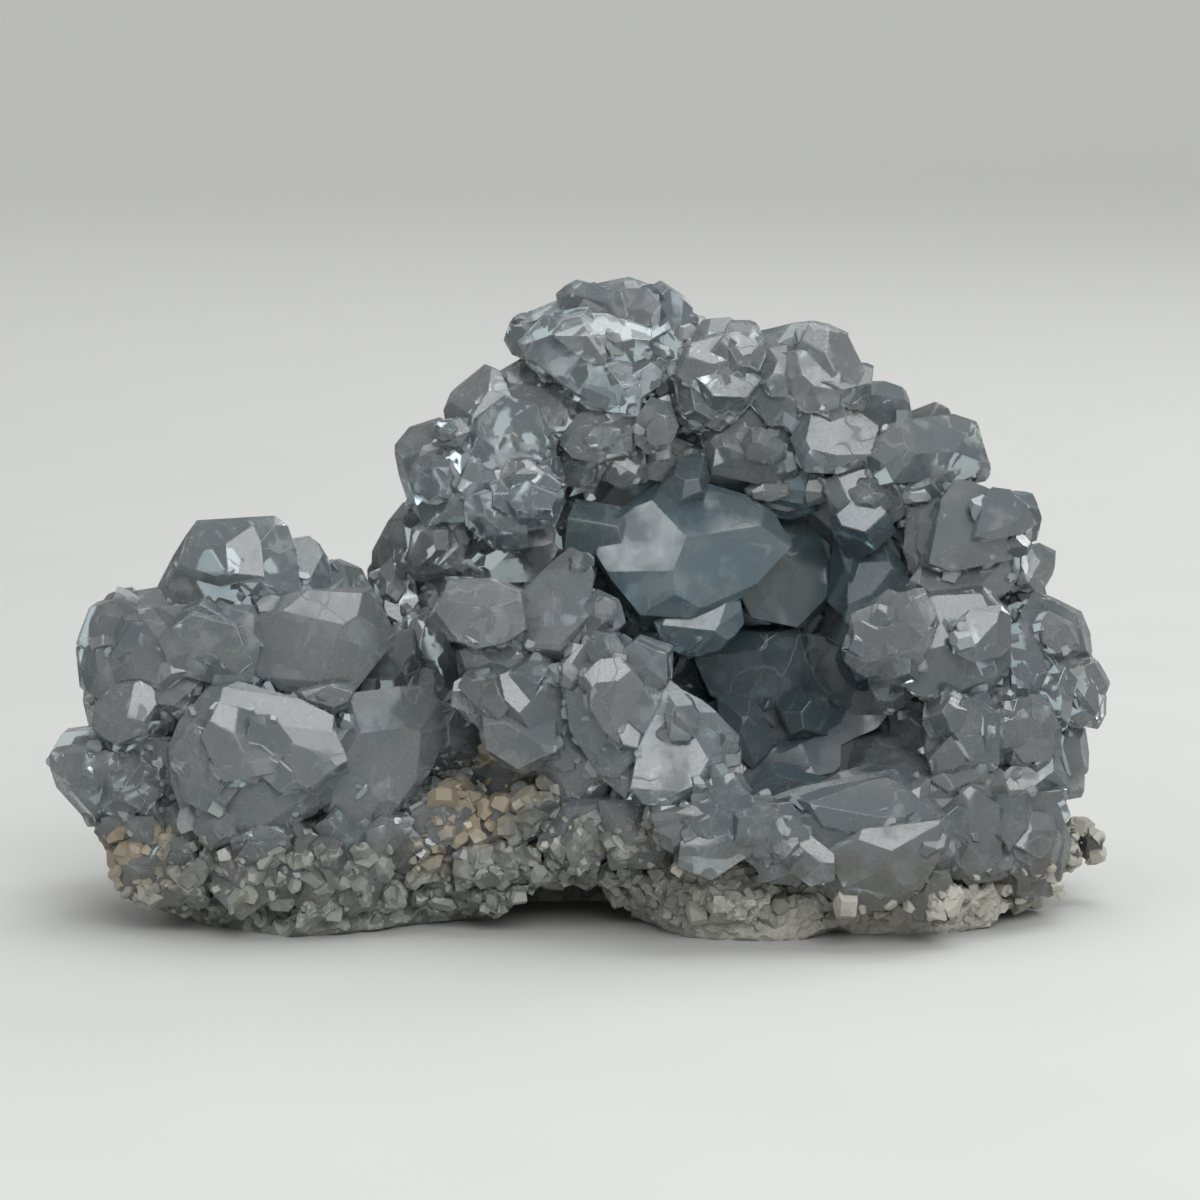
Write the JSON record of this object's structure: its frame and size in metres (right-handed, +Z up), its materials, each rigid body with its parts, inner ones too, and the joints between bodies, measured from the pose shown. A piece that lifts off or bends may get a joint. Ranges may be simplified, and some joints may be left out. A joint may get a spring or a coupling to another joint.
{
  "type": "celestite geode",
  "caption": "Broken-open celestite geode: pale blue crystals and a crystal-lined hollow on a rough stone rind, resting on a flat foot.",
  "frame": {"origin": "middle of the box's bottom, on the flat foot that the stone rests on", "axes": "+X to the right of the side that shows the hollow, along the length; +Y to the back; +Z up"},
  "size_m": [0.1064, 0.0538, 0.0644],
  "materials": {
    "pale_blue_crystal": "milky see-through mineral, glossy faces with frosted edges",
    "stone_rind": "rough granular rind, matt, tan and brown stains",
    "deep_blue_crystal": "milky see-through mineral, darker blue, glossy faces"
  },
  "bodies": {
    "root": {"crystals": "pale_blue_crystal", "matrix": "stone_rind", "pocket_crystals": "deep_blue_crystal"}
  },
  "joints": []
}
